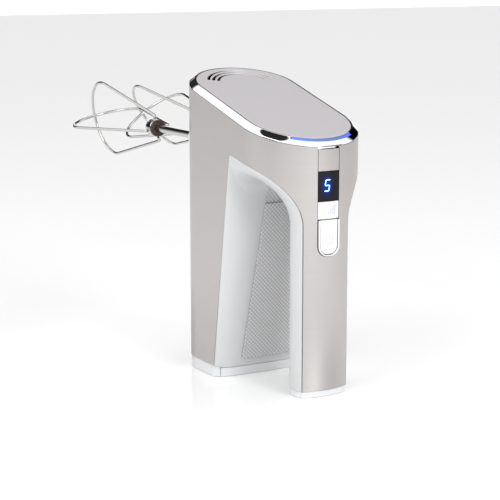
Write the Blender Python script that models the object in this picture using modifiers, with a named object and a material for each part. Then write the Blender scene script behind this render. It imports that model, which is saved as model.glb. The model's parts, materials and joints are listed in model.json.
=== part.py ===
"""Cordless hand mixer, standing on its two feet, as an assembly of separate sub-parts.

Lengths below are in millimetres and are turned into metres when a mesh is made.
X runs across the mixer, -Y towards the handle and its display, +Y along the
beaters, +Z up.  The origin is on the surface the mixer stands on, at the
middle of the flat base of the motor column.
"""
import math

import bmesh
import bpy
from mathutils import Matrix, Vector

MM = 0.001
GAP = 0.3                 # clearance between neighbouring parts

# ---- driving dimensions ------------------------------------------------------
HALF_WIDTH = 38.0         # half the width of head and motor column
FRONT_CENTRE = -63.4      # the flat sides end here and the front half ellipse starts
FRONT_REACH = 35.6
REAR_CENTRE = -4.3        # the same for the rear half ellipse
REAR_REACH = 31.7
TOP_HEIGHT = 179.8        # top edge of the steel skin above the origin
TOP_SLOPE = math.tan(math.radians(16.0))

SKIN = 0.8                # sheet thickness of the steel wrap
SHELL = 1.8               # plastic wall thickness
BASE_BAND = 7.0           # white band under the steel of the motor column
HEEL_BAND = 3.6           # white band under the steel of the handle

BEATER_X = 19.5           # half the distance between the beaters
BEATER_Z = 146.6
SIDES = (("left", -BEATER_X), ("right", BEATER_X))
SOCKET_OUTER = 7.4        # outer radius of the collars the beaters go through
WORM_Y = -10.0            # the motor stands on this axis

CAP_INSET = 4.7           # the nose cap stands in from the plan outline by this
RING_RISE = 3.7
STRIP_HALF = 7.3          # half width of the control strip on the handle
LIGHT_HALF_ANGLE = 36.0   # the light guide's end, as an angle on the front ellipse
REAR_COVER_HALF = 29.0    # half width of the rear cover
PORT_Z = 20.0             # the charging inlet, low on the rear cover
PORT_RADIUS = 3.6
FOOT_INSET = 0.5          # the white feet stand in from the steel by this
LIP_HALF = 33.5           # the battery door's front lip
LIP_TOP = 5.5
SCREW_HEAD_HOLE = 3.3     # radii of the screw holes in the two feet
SCREW_HOLE = 1.7
SCREW_HEAD_DEPTH = 1.8
DOOR_SCREW_Y = 14.0
HEEL_SCREW_Y = -86.0
ROTOR_SHAFT_RADIUS = 2.0
BEYOND = 60.0             # a length that takes a cutter right through the part

# ---- scene set-up ------------------------------------------------------------
for old in list(bpy.data.objects):
    bpy.data.objects.remove(old, do_unlink=True)

PARTS = bpy.data.collections.new("hand_mixer")
CUTTERS = bpy.data.collections.new("cutters")
bpy.context.scene.collection.children.link(PARTS)
bpy.context.scene.collection.children.link(CUTTERS)


def material(name, colour, roughness, metallic=0.0, glow=None):
    """A Principled material; glow is an emission colour for lit parts."""
    made = bpy.data.materials.new(name)
    made.use_nodes = True
    shader = made.node_tree.nodes["Principled BSDF"]
    shader.inputs["Base Color"].default_value = (*colour, 1.0)
    shader.inputs["Roughness"].default_value = roughness
    shader.inputs["Metallic"].default_value = metallic
    if glow:
        shader.inputs["Emission Color"].default_value = (*glow, 1.0)
        shader.inputs["Emission Strength"].default_value = 2.0
    return made


BRUSHED_STEEL = material("brushed_steel", (0.56, 0.53, 0.50), 0.35, 1.0)
CHROME = material("chrome", (0.85, 0.85, 0.86), 0.06, 1.0)
SATIN_SILVER = material("satin_silver", (0.62, 0.61, 0.62), 0.40, 0.3)
WHITE_PLASTIC = material("white_plastic", (0.78, 0.79, 0.80), 0.35)
TEXTURED_GREY = material("textured_grey", (0.48, 0.48, 0.49), 0.60)
DARK_PLASTIC = material("dark_plastic", (0.04, 0.025, 0.02), 0.45)
BLACK_GLASS = material("black_glass", (0.005, 0.005, 0.008), 0.08)
BLUE_LIGHT = material("blue_light", (0.02, 0.10, 0.80), 0.20, 0.0, (0.0, 0.2, 1.0))
CIRCUIT_GREEN = material("circuit_green", (0.02, 0.16, 0.07), 0.50)
BLACK_PLASTIC = material("black_plastic", (0.03, 0.03, 0.03), 0.50)
CELL_BLUE = material("cell_blue", (0.03, 0.10, 0.30), 0.40)
MOTOR_ZINC = material("motor_zinc", (0.55, 0.56, 0.58), 0.35, 0.9)
BRONZE = material("bronze", (0.50, 0.33, 0.15), 0.40, 0.9)
NYLON = material("nylon", (0.80, 0.78, 0.70), 0.45)
SPRING_STEEL = material("spring_steel", (0.50, 0.50, 0.52), 0.25, 1.0)


# ---- mesh helpers --------------------------------------------------------------
def keep(name, mesh, surface, collection=PARTS):
    """Wrap a mesh in an object of the given material and link it."""
    made = bpy.data.objects.new(name, mesh)
    collection.objects.link(made)
    if surface:
        mesh.materials.append(surface)
    mesh.set_sharp_from_angle(angle=math.radians(35))
    return made


def from_bmesh(name, work, surface, collection=PARTS, keep_winding=False):
    """Turn a bmesh in millimetres into an object in metres, faces outwards."""
    if not keep_winding:
        bmesh.ops.recalc_face_normals(work, faces=work.faces)
    bmesh.ops.scale(work, vec=(MM, MM, MM), verts=work.verts)
    for face in work.faces:
        face.smooth = True
    mesh = bpy.data.meshes.new(name)
    work.to_mesh(mesh)
    work.free()
    return keep(name, mesh, surface, collection)


def freeze(item):
    """Apply an object's modifiers by replacing its mesh with the evaluated one."""
    graph = bpy.context.evaluated_depsgraph_get()
    mesh = bpy.data.meshes.new_from_object(item.evaluated_get(graph))
    item.modifiers.clear()
    item.data = mesh


def cut(item, *cutters):
    """Take each cutter away from an object and put the cutter out of sight."""
    for cutter in cutters:
        boolean = item.modifiers.new("cut", "BOOLEAN")
        boolean.operation = "DIFFERENCE"
        boolean.object = cutter
    bpy.context.view_layer.update()
    freeze(item)
    item.data.set_sharp_from_angle(angle=math.radians(35))
    for cutter in cutters:
        cutter.hide_render = True
        cutter.display_type = "WIRE"


def prism(name, outline, low, high, surface, axis="Z", collection=PARTS):
    """A flat outline raised between two levels of one axis.

    The outline is in XY for Z, in XZ for Y and in YZ for X.
    """
    work = bmesh.new()
    ends = []
    for level in (low, high):
        if axis == "Z":
            ends.append([work.verts.new((a, b, level)) for a, b in outline])
        elif axis == "Y":
            ends.append([work.verts.new((a, level, b)) for a, b in outline])
        else:
            ends.append([work.verts.new((level, a, b)) for a, b in outline])
    work.faces.new(ends[0])
    work.faces.new(ends[1])
    for i in range(len(outline)):
        j = (i + 1) % len(outline)
        work.faces.new((ends[0][i], ends[0][j], ends[1][j], ends[1][i]))
    return from_bmesh(name, work, surface, collection)


def box(name, low, high, surface, collection=PARTS):
    """A box between two corners."""
    work = bmesh.new()
    bmesh.ops.create_cube(work, size=1.0)
    size = [b - a for a, b in zip(low, high)]
    middle = [(a + b) / 2 for a, b in zip(low, high)]
    bmesh.ops.scale(work, vec=size, verts=work.verts)
    bmesh.ops.translate(work, vec=middle, verts=work.verts)
    return from_bmesh(name, work, surface, collection)


def cylinder(name, start, end, radius, surface, sides=24, collection=PARTS):
    """A cylinder between two points on one axis."""
    work = bmesh.new()
    run = Vector(end) - Vector(start)
    bmesh.ops.create_cone(work, cap_ends=True, segments=sides, radius1=radius,
                          radius2=radius, depth=run.length)
    turn = run.to_track_quat("Z", "Y").to_matrix().to_4x4()
    place = Matrix.Translation((Vector(start) + Vector(end)) / 2) @ turn
    bmesh.ops.transform(work, matrix=place, verts=work.verts)
    return from_bmesh(name, work, surface, collection)


def turned(name, profile, surface, place, sides=24):
    """A closed (radius, height) profile turned about its own Z, then placed."""
    work = bmesh.new()
    rings = []
    for radius, height in profile:
        if radius == 0:
            rings.append([work.verts.new((0, 0, height))])
            continue
        rings.append([work.verts.new((radius * math.cos(math.tau * k / sides),
                                      radius * math.sin(math.tau * k / sides), height))
                      for k in range(sides)])
    open_ends = profile[0][0] == 0 and profile[-1][0] == 0
    pairs = zip(rings, rings[1:]) if open_ends else zip(rings, rings[1:] + rings[:1])
    for lower, upper in pairs:
        for k in range(sides):
            n = (k + 1) % sides
            if len(lower) == 1:
                work.faces.new((lower[0], upper[k], upper[n]))
            elif len(upper) == 1:
                work.faces.new((lower[k], lower[n], upper[0]))
            else:
                work.faces.new((lower[k], lower[n], upper[n], upper[k]))
    bmesh.ops.transform(work, matrix=place, verts=work.verts)
    return from_bmesh(name, work, surface)


def standing(x, y, z=0.0):
    """Placement for a turned part whose axis is vertical."""
    return Matrix.Translation((x, y, z))


def lying(x, z, y=0.0):
    """Placement for a turned part whose axis runs along +Y."""
    return Matrix.Translation((x, y, z)) @ Matrix.Rotation(math.radians(-90), 4, "X")


def loft(name, rows, surface, closed_rows=False, thickness=0.0):
    """A grid of points skinned with quads, capped or given a thickness.

    A positive thickness is laid inwards of the grid and a negative one outwards.
    """
    work = bmesh.new()
    grid = [[work.verts.new(point) for point in row] for row in rows]
    count = len(rows[0])
    for lower, upper in zip(grid, grid[1:]):
        for k in range(count if closed_rows else count - 1):
            n = (k + 1) % count
            work.faces.new((lower[k], lower[n], upper[n], upper[k]))
    if closed_rows:
        work.faces.new(grid[0])
        work.faces.new(grid[-1])
    item = from_bmesh(name, work, surface, keep_winding=bool(thickness))
    if thickness:
        solid = item.modifiers.new("wall", "SOLIDIFY")
        solid.thickness = abs(thickness) * MM
        solid.offset = -1.0 if thickness > 0 else 1.0
        solid.use_even_offset = True
        bpy.context.view_layer.update()
        freeze(item)
        item.data.set_sharp_from_angle(angle=math.radians(35))
    return item


def swept_ring(name, path, section, surface, closed=True):
    """A section of (inset, rise) points swept along outline stations.

    path is a function that gives the plan point of a station for an inset.
    """
    work = bmesh.new()
    stations = path(0.0)
    loops = []
    for inset, rise in section:
        loops.append([work.verts.new((x, y, top_plane(y) + rise)) for x, y in path(inset)])
    for a, b in zip(loops, loops[1:] + loops[:1]):
        for k in range(len(stations) if closed else len(stations) - 1):
            n = (k + 1) % len(stations)
            work.faces.new((a[k], a[n], b[n], b[k]))
    if not closed:
        work.faces.new([loop[0] for loop in loops])
        work.faces.new([loop[-1] for loop in loops])
    return from_bmesh(name, work, surface)


# ---- the body's plan outline and side profile ------------------------------------
def top_plane(y):
    """Height of the slanted plane that ends the steel skin."""
    return TOP_HEIGHT + TOP_SLOPE * y


def front_point(angle, inset=0.0):
    """Point of the front half ellipse; 0 degrees is the middle, +-90 the sides."""
    turn = math.radians(angle)
    return ((HALF_WIDTH - inset) * math.sin(turn),
            FRONT_CENTRE - (FRONT_REACH - inset) * math.cos(turn))


def rear_point(angle, inset=0.0):
    """Point of the rear half ellipse; 0 degrees is the middle, +-90 the sides."""
    turn = math.radians(angle)
    return ((HALF_WIDTH - inset) * math.sin(turn),
            REAR_CENTRE + (REAR_REACH - inset) * math.cos(turn))


def steps(start, end, count):
    """count + 1 evenly spaced numbers from start to end."""
    return [start + (end - start) * k / count for k in range(count + 1)]


def plan_outline(inset=0.0, arc_steps=22):
    """The closed plan outline of the head."""
    front = [front_point(a, inset) for a in steps(-90, 90, arc_steps)]
    rear = [rear_point(a, inset) for a in steps(90, -90, arc_steps)]
    return front + rear


def half_width_at(y):
    """Half width of the head at a place along Y."""
    if y < FRONT_CENTRE:
        return HALF_WIDTH * math.sqrt(max(0.0, 1 - ((FRONT_CENTRE - y) / FRONT_REACH) ** 2))
    if y > REAR_CENTRE:
        return HALF_WIDTH * math.sqrt(max(0.0, 1 - ((y - REAR_CENTRE) / REAR_REACH) ** 2))
    return HALF_WIDTH


def bezier(points, t):
    """Point of a cubic Bezier curve in a plane."""
    weights = ((1 - t) ** 3, 3 * t * (1 - t) ** 2, 3 * t * t * (1 - t), t ** 3)
    return tuple(sum(w * p[i] for w, p in zip(weights, points)) for i in (0, 1))


# The opening between column and handle, seen from the side, as (y, z).
# Its outer edge is cut in the steel; its middle line is where the fingers go.
COLUMN_LEAN = 0.146                       # the column's front leans forward
EDGE_FOOT = -25.9                         # the steel's edge at the floor
ARCH_EDGE = ((-47.0, 144.3), (-72.0, 139.0), (-95.8, 137.0), (-95.8, 104.0))
MIDDLE_FOOT = -31.7                       # the column's face at the floor, on x = 0
MIDDLE_ARCH = ((-48.2, 113.0), (-51.2, 133.5), (-74.0, 136.5), (-74.0, 104.0))
ARCH_STEPS = 14
COLUMN_POWER = 2.3                        # 2 is an ellipse, more is boxier
HANDLE_START = -28.0                      # the grip bulges past the steel by this angle


def profile_line(foot, arch, column_foot, handle_foot, counts):
    """Side profile from the column's foot, over the arch, to the handle's foot."""
    on_column, on_arch, on_handle = counts
    corner = (foot - COLUMN_LEAN * arch[0][1], arch[0][1])
    column = [(foot - COLUMN_LEAN * z, z) for z in steps(column_foot, corner[1], on_column)]
    over = [bezier(arch, t) for t in steps(0, 1, on_arch)]
    handle = [(arch[3][0], z) for z in steps(arch[3][1], handle_foot, on_handle)]
    return column[:-1] + over + handle[1:]


def blend(a, b, t):
    """Smooth step from a to b."""
    t = max(0.0, min(1.0, t))
    return a + (b - a) * t * t * (3 - 2 * t)


def cross_section(edge, middle, share, count):
    """One section of the liner, from the left edge through the middle to the right.

    share runs from 0 on the column to 1 on the handle.  The column's section is a
    flat bow with round corners; the handle's is an ellipse that bulges past the
    steel's edge.
    """
    start = math.radians(blend(0.0, HANDLE_START, share))
    power = 2.0 / blend(COLUMN_POWER, 2.0, share)
    behind = -abs(math.sin(start)) ** power
    run = Vector(middle) - Vector(edge)
    edge = Vector(edge) + run.normalized() * GAP
    reach = (Vector(middle) - edge) / (1 - behind)
    centre = Vector(middle) - reach
    wide = (half_width_at(edge[0]) - GAP / 2) / math.cos(start) ** power
    points = []
    for turn in steps(start, math.pi - start, count):
        across = -math.copysign(abs(math.cos(turn)) ** power, math.cos(turn))
        along = math.copysign(abs(math.sin(turn)) ** power, math.sin(turn))
        spot = centre + reach * along
        points.append((wide * across, spot[0], spot[1]))
    return points


def liner_rows(counts, across, column_foot, handle_foot):
    """The liner's surface as rows of points, column first, handle last."""
    edges = profile_line(EDGE_FOOT, ARCH_EDGE, column_foot, handle_foot, counts)
    middles = profile_line(MIDDLE_FOOT, MIDDLE_ARCH, column_foot, handle_foot, counts)
    first, last = counts[0], counts[0] + counts[1]
    rows = []
    for k, (edge, middle) in enumerate(zip(edges, middles)):
        share = (k - first) / (last - first)
        rows.append(cross_section(edge, middle, share, across))
    return rows


def column_face(x, z, outward=0.0):
    """Place along Y of the column's face, outward of it by the given distance."""
    reach = MIDDLE_FOOT - EDGE_FOOT
    along = max(0.0, 1 - abs(x / HALF_WIDTH) ** COLUMN_POWER) ** (1 / COLUMN_POWER)
    return EDGE_FOOT - COLUMN_LEAN * z + reach * along - outward


# ---- casing --------------------------------------------------------------------
def cover_limit(extra=0.0):
    """Angle on the rear ellipse at which the rear cover ends."""
    return math.degrees(math.asin((REAR_COVER_HALF + extra) / HALF_WIDTH))


def key_outline(half, bottom, top, radius):
    """A U shape with round lower corners, as an XZ outline."""
    left = [(-half + radius * (1 - math.cos(math.radians(a))),
             bottom + radius * (1 - math.sin(math.radians(a)))) for a in steps(0, 90, 5)]
    right = [(-x, z) for x, z in reversed(left)]
    return [(-half, top)] + left + right + [(half, top)]


def curved_wall(name, outer, inner, foot, surface, collection=PARTS):
    """A wall between two plan paths, from a level foot up to the slanted plane."""
    outline = outer + inner[::-1]
    work = bmesh.new()
    low = [work.verts.new((x, y, foot)) for x, y in outline]
    high = [work.verts.new((x, y, top_plane(y))) for x, y in outline]
    count = len(outline)
    for k in range(count):
        n = (k + 1) % count
        work.faces.new((low[k], low[n], high[n], high[k]))
    for k in range(len(outer) - 1):
        for ring in (low, high):
            work.faces.new((ring[k], ring[k + 1], ring[count - 2 - k], ring[count - 1 - k]))
    return from_bmesh(name, work, surface, collection)


def wrap_path(inset):
    """The steel's plan path, from one rear edge round the front to the other."""
    edge = cover_limit(GAP)
    return ([rear_point(a, inset) for a in steps(-edge, -90, 8)]
            + [front_point(a, inset) for a in steps(-90, 90, 30)]
            + [rear_point(a, inset) for a in steps(90, edge, 8)])


def opening_cutter():
    """The side opening between column and handle, right through along X."""
    profile = profile_line(EDGE_FOOT, ARCH_EDGE, -5.0, -5.0, (1, ARCH_STEPS, 1))
    return prism("opening_cutter", profile, -BEYOND, BEYOND, None, "X", CUTTERS)


def make_steel_skin():
    """The sheet wrapped round head, column sides and handle front."""
    skin = curved_wall("steel_skin", wrap_path(0.0), wrap_path(SKIN), HEEL_BAND + GAP,
                       BRUSHED_STEEL)
    band = box("band_cutter", (-BEYOND, -BEYOND, -5), (BEYOND, BEYOND, BASE_BAND + GAP), None,
               CUTTERS)
    window = prism("window_cutter", key_outline(STRIP_HALF + GAP, 86.0, 200.0, 6.5),
                   -120, -90, None, "Y", CUTTERS)
    cut(skin, opening_cutter(), band, window)


def make_rear_cover():
    """The plastic back between the steel's two rear edges, with the beater outlets."""
    edge = cover_limit()
    outer = [rear_point(a) for a in steps(-edge, edge, 16)]
    inner = [rear_point(a, SHELL) for a in steps(-edge, edge, 16)]
    cover = curved_wall("rear_cover", outer, inner, BASE_BAND + GAP, WHITE_PLASTIC)
    holes = [cylinder(f"outlet_cutter_{side}", (x, 0, BEATER_Z), (x, BEYOND, BEATER_Z),
                      SOCKET_OUTER + GAP, None, 24, CUTTERS)
             for side, x in SIDES]
    holes.append(cylinder("port_cutter", (0, 10, PORT_Z), (0, BEYOND, PORT_Z),
                          PORT_RADIUS + GAP, None, 20, CUTTERS))
    cut(cover, *holes)


def make_liner():
    """White inner wall of column and arch, running down into the handle's grip."""
    rows = liner_rows((6, ARCH_STEPS, 4), 14, BASE_BAND + GAP, HEEL_BAND + GAP)
    liner = loft("inner_liner", rows, WHITE_PLASTIC, thickness=SHELL)
    guard = curved_wall("steel_clearance", wrap_path(-1.0), wrap_path(SKIN + GAP), 1.0, None,
                        CUTTERS)
    cut(guard, opening_cutter())
    cut(liner, guard)


PAD_FOOT, PAD_TOP = 11.0, 112.0
PAD_HALF_FOOT = 22.0
PAD_TAPER = 9.0           # the pad is narrower by this at each side of its top


def make_grip_panel():
    """The textured pad on the column's face, wider at the foot."""
    rows = []
    for z in steps(PAD_FOOT, PAD_TOP, 8):
        half = PAD_HALF_FOOT - PAD_TAPER * z / PAD_TOP
        rows.append([(x, column_face(x, z, GAP + 0.05), z) for x in steps(-half, half, 8)])
    loft("grip_panel", rows, TEXTURED_GREY, thickness=-0.8)


def foot_outline(inset, z=3.0, across=12):
    """Plan of the motor column's foot: its bowed front, flat sides and round rear."""
    half = HALF_WIDTH - inset
    front = []
    for x in steps(-half, half, across):
        front.append((x, column_face(x * HALF_WIDTH / half, z) + inset))
    rear = [rear_point(a, inset) for a in steps(90, -90, 20)]
    return front + rear


def make_column_foot():
    """The white band round the column's foot and the battery door inside it."""
    wall, door_top = 2.2, 3.0
    hold = FOOT_INSET + wall
    rim = prism("base_rim", foot_outline(FOOT_INSET), 0, BASE_BAND, WHITE_PLASTIC)
    hollow = prism("rim_cutter", foot_outline(hold), -1, BASE_BAND + 1, None,
                   "Z", CUTTERS)
    notch = box("notch_cutter", (-LIP_HALF - GAP, -50, -1), (LIP_HALF + GAP, -25, LIP_TOP + GAP),
                None, CUTTERS)
    cut(rim, hollow, notch)
    door = prism("battery_door", foot_outline(hold + GAP), 0, door_top, WHITE_PLASTIC)
    lip = [(x, column_face(x, door_top) + FOOT_INSET) for x in steps(-LIP_HALF, LIP_HALF, 10)]
    lip += [(x, column_face(x, door_top) + hold + 1.0) for x in steps(LIP_HALF, -LIP_HALF, 10)]
    lip_part = prism("door_lip", lip, 0, LIP_TOP, None, "Z", CUTTERS)
    union = door.modifiers.new("lip", "BOOLEAN")
    union.operation = "UNION"
    union.object = lip_part
    lip_part.hide_render = True
    lip_part.display_type = "WIRE"
    holes = []
    for side, x in SIDES:
        holes += screw_hole(f"door_{side}", x, DOOR_SCREW_Y)
    cut(door, *holes)
    for side, x in SIDES:
        make_screw(f"door_screw_{side}", x, DOOR_SCREW_Y)


def screw_hole(name, x, y):
    """The cutters for a screw's head and for its shank."""
    return [cylinder(name + "_head", (x, y, -1), (x, y, SCREW_HEAD_DEPTH), SCREW_HEAD_HOLE,
                     None, 20, CUTTERS),
            cylinder(name + "_hole", (x, y, 1), (x, y, 9), SCREW_HOLE, None, 12, CUTTERS)]


def make_screw(name, x, y):
    """A pan-head screw driven upwards, its head at the bottom, with a round socket."""
    profile = ((0, 1.0), (0.9, 1.0), (0.9, 0.0), (2.0, 0.0), (2.8, 0.6), (2.8, 1.0),
               (1.3, 1.0), (1.3, 7.5), (0.6, 8.5), (0, 8.5))
    turned(name, profile, SPRING_STEEL, standing(x, y, 0.5), 10)


def handle_outline(inset, across=14):
    """Plan of the handle's foot: steel arc at the front, round grip behind."""
    edge, middle = ARCH_EDGE[3][0], MIDDLE_ARCH[3][0]
    grip = cross_section((edge, 0), (middle, 0), 1.0, across)
    limit = math.degrees(math.asin(half_width_at(edge) / HALF_WIDTH))
    front = [front_point(a) for a in steps(limit, -limit, 8)]
    outline = [Vector((x, y)) for x, y, _ in grip] + [Vector(p) for p in front[1:-1]]
    centre = Vector((0, (edge + middle) / 2))
    shrunk = []
    for point in outline:
        away = point - centre
        shrunk.append(tuple(centre + away * (1 - inset / away.length)))
    return shrunk


def make_handle_foot():
    """The white heel that closes the handle."""
    heel = prism("handle_foot", handle_outline(FOOT_INSET), 0, HEEL_BAND, WHITE_PLASTIC)
    cut(heel, *screw_hole("heel", 0, HEEL_SCREW_Y))
    make_screw("heel_screw", 0, HEEL_SCREW_Y)


def make_chrome_ring():
    """The chamfered ring between the steel and the nose cap, cut for the light."""
    section = ((0, GAP), (0, 0.7), (3.6, RING_RISE), (4.4, RING_RISE), (4.4, 1.4),
               (6.5, 1.4), (6.5, -3.0), (SHELL + GAP, -3.0), (SHELL + GAP, GAP))
    ring = swept_ring("chrome_ring", plan_outline, section, CHROME)
    slot = ((2.2, 0.9), (2.2, 6.0), (5.2, 6.0), (5.2, 0.9))
    cutter = swept_ring("light_cutter", light_path(1.0), slot, None, closed=False)
    PARTS.objects.unlink(cutter)
    CUTTERS.objects.link(cutter)
    cut(ring, cutter)
    guide = ((2.5, 1.2), (2.5, 2.75), (3.5, 3.55), (4.35, 3.55), (4.35, 1.2))
    swept_ring("light_guide", light_path(0.0), guide, BLUE_LIGHT, closed=False)
    lamp = ((2.0, -4.8), (2.0, -3.6), (6.0, -3.6), (6.0, -4.8))
    swept_ring("light_board", light_path(-3.0), lamp, CIRCUIT_GREEN, closed=False)


def light_path(extra):
    """Stations along the front of the ring, extra degrees longer at each end."""
    end = LIGHT_HALF_ANGLE + extra

    def path(inset):
        return [front_point(a, inset) for a in steps(-end, end, 14)]
    return path


def make_nose_cap():
    """The satin plate inside the ring with three arc slots at its rear."""
    outline = plan_outline(CAP_INSET)
    work = bmesh.new()
    low = [work.verts.new((x, y, top_plane(y) + 1.7)) for x, y in outline]
    high = [work.verts.new((x, y, top_plane(y) + RING_RISE)) for x, y in outline]
    work.faces.new(low)
    work.faces.new(high)
    for k in range(len(outline)):
        n = (k + 1) % len(outline)
        work.faces.new((low[k], low[n], high[n], high[k]))
    cap = from_bmesh("nose_cap", work, SATIN_SILVER)
    cutters = []
    for number, radius in enumerate((25.2, 22.1, 19.0)):
        cutters.append(prism(f"vent_cutter_{number}", arc_slot(radius, 0.9, 64, -6.5),
                             150, 220, None, "Z", CUTTERS))
    cut(cap, *cutters)


def arc_slot(radius, half, angle, centre_y):
    """Plan outline of a slot that follows an arc about the rear of the cap."""
    outer = [((radius + half) * math.sin(math.radians(a)),
              centre_y + (radius + half) * math.cos(math.radians(a)))
             for a in steps(-angle, angle, 14)]
    inner = [((radius - half) * math.sin(math.radians(a)),
              centre_y + (radius - half) * math.cos(math.radians(a)))
             for a in steps(angle, -angle, 14)]
    return outer + inner


# ---- control strip -----------------------------------------------------------------
def front_panel(name, half, bottom, top, front, back, surface):
    """A curved panel that follows the head's front, between two insets."""
    limit = math.degrees(math.asin(half / HALF_WIDTH))
    outline = [front_point(a, front) for a in steps(-limit, limit, 6)]
    outline += [front_point(a, back) for a in steps(limit, -limit, 6)]
    return prism(name, outline, bottom, top, surface)


def make_controls():
    """Display, speed button, power button with its bezel, and what is behind them."""
    front_panel("control_strip", STRIP_HALF, 137.4, 150.3, 0.0, SKIN, BRUSHED_STEEL)
    front_panel("display_window", STRIP_HALF, 119.5, 137.1, 0.1, 1.8, BLACK_GLASS)
    front_panel("speed_button", STRIP_HALF, 108.7, 119.1, -0.1, 1.6, WHITE_PLASTIC)
    outer = key_outline(STRIP_HALF, 86.3, 108.3, 6.2)
    inner = key_outline(STRIP_HALF - 1.0, 87.3, 108.3, 5.2)
    bezel = outer + inner[::-1]
    prism("key_bezel", bezel, -99.9, -97.2, CHROME, "Y")
    cap = key_outline(STRIP_HALF - 1.0 - GAP, 87.3 + GAP, 108.2, 4.9)
    prism("power_button", cap, -99.6, -96.8, WHITE_PLASTIC, "Y")
    box("control_board", (-8.5, -91.5, 84), (8.5, -90, 146), CIRCUIT_GREEN)
    box("display_module", (-6.5, -96.6, 120.2), (6.5, -91.8, 136.4), BLACK_PLASTIC)
    box("speed_switch", (-3, -96.1, 111), (3, -91.8, 117), BLACK_PLASTIC)
    box("power_switch", (-3, -95.5, 95), (3, -91.8, 101), BLACK_PLASTIC)


# ---- power -------------------------------------------------------------------------
CELL_RADIUS = 9.1
CELL_FOOT = 5.6
CELL_TOP = CELL_FOOT + 65
CELL_Y = -6.0
CELL_PLACES = (-19.2, 0.0, 19.2)


def make_power():
    """Three cells in their tray, the link on top, the power board and its inlet."""
    tray = box("battery_tray", (-30.5, CELL_Y - 11, 3.4), (30.5, CELL_Y + 11, 16),
               BLACK_PLASTIC)
    wells = [cylinder(f"well_cutter_{k}", (x, CELL_Y, CELL_FOOT - GAP), (x, CELL_Y, 30),
                      CELL_RADIUS + GAP, None, 20, CUTTERS)
             for k, x in enumerate(CELL_PLACES)]
    cut(tray, *wells)
    for k, x in enumerate(CELL_PLACES):
        profile = ((0, CELL_FOOT), (CELL_RADIUS - 0.6, CELL_FOOT), (CELL_RADIUS, CELL_FOOT + 0.6),
                   (CELL_RADIUS, CELL_TOP - 2.2), (CELL_RADIUS - 0.8, CELL_TOP - 1.4),
                   (3.4, CELL_TOP - 1.4), (3.4, CELL_TOP), (0, CELL_TOP))
        turned(f"battery_cell_{k + 1}", profile, CELL_BLUE, standing(x, CELL_Y), 20)
    box("cell_link", (-25, CELL_Y - 3, CELL_TOP + GAP), (25, CELL_Y + 3, CELL_TOP + 1),
        MOTOR_ZINC)
    box("power_board", (-26, -24.6, 20), (26, -23, 68), CIRCUIT_GREEN)
    profile = ((0, 0), (5.0, 0), (5.0, 7.5), (PORT_RADIUS, 7.5), (PORT_RADIUS, 10.2),
               (1.8, 10.2), (1.8, 4.0), (0, 4.0))
    turned("charge_port", profile, BLACK_PLASTIC, lying(0, PORT_Z, 16.8), 20)


# ---- drive -------------------------------------------------------------------------
MOTOR_RADIUS = 18.0
MOTOR_FOOT = 86.8
MOTOR_TOP = 127.6
SPINDLE_RADIUS = 4.5
SHAFT_RADIUS = 2.5
GEAR_TEETH = 30
GEAR_PITCH_RADIUS = 15.0
WORM_PITCH_RADIUS = BEATER_X - GEAR_PITCH_RADIUS
WORM_PITCH = math.tau * GEAR_PITCH_RADIUS / GEAR_TEETH
ADDENDUM = 0.7            # tooth height outside the pitch line; the two interlock by twice this
DEDENDUM = 1.1            # and inside it, so that no tip reaches the other's root
TOOTH_TIP = 0.09          # half a tooth's width at its tip, as a share of the pitch
TOOTH_ROOT = 0.25         # and at its root
WHEEL_HALF = 3.5          # half the width of a worm wheel
FRAME_FLOOR = 128.0
FRAME_TOP = 164.0


def make_motor():
    """Motor can and brush cap, both open for the shaft."""
    bore = ROTOR_SHAFT_RADIUS + 0.5
    can = ((bore, MOTOR_FOOT), (MOTOR_RADIUS, MOTOR_FOOT), (MOTOR_RADIUS, MOTOR_TOP - 3),
           (MOTOR_RADIUS - 1.5, MOTOR_TOP - 1.2), (6.5, MOTOR_TOP - 1.2), (6.5, MOTOR_TOP),
           (bore, MOTOR_TOP))
    turned("motor_can", can, MOTOR_ZINC, standing(0, WORM_Y), 28)
    cap = ((bore, 81.0), (6.0, 81.0), (6.0, 82.5), (14.0, 82.5), (MOTOR_RADIUS - 0.8, 84.5),
           (MOTOR_RADIUS - 0.8, MOTOR_FOOT - GAP), (bore, MOTOR_FOOT - GAP))
    turned("motor_end_cap", cap, BLACK_PLASTIC, standing(0, WORM_Y), 28)


def make_worm():
    """Motor shaft with the worm near its top, as one turned and threaded piece."""
    sides, bottom, top = 16, 139.0, 154.5
    tip, root = WORM_PITCH_RADIUS + ADDENDUM, WORM_PITCH_RADIUS - DEDENDUM
    neck = 3.0
    plain = ((ROTOR_SHAFT_RADIUS, 74.6), (ROTOR_SHAFT_RADIUS, 134.0), (neck, 135.0),
             (neck, 138.0))
    rings = [[(r * math.cos(math.tau * k / sides), r * math.sin(math.tau * k / sides), z)
              for k in range(sides)] for r, z in plain]
    for z in steps(bottom, top, 60):
        ring = []
        for k in range(sides):
            away = abs((z / WORM_PITCH - k / sides) % 1.0 - 0.5)
            flank = (TOOTH_ROOT - away) / (TOOTH_ROOT - TOOTH_TIP)
            radius = root + (tip - root) * max(0.0, min(1.0, flank))
            ring.append((radius * math.cos(math.tau * k / sides),
                         radius * math.sin(math.tau * k / sides), z))
        rings.append(ring)
    for radius, z in ((neck, 155.5), (ROTOR_SHAFT_RADIUS, 156.5), (ROTOR_SHAFT_RADIUS, 167.5)):
        rings.append([(radius * math.cos(math.tau * k / sides),
                       radius * math.sin(math.tau * k / sides), z) for k in range(sides)])
    rows = [[(x, y + WORM_Y, z) for x, y, z in ring] for ring in rings]
    loft("worm_shaft", rows, SPRING_STEEL, closed_rows=True)


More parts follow.
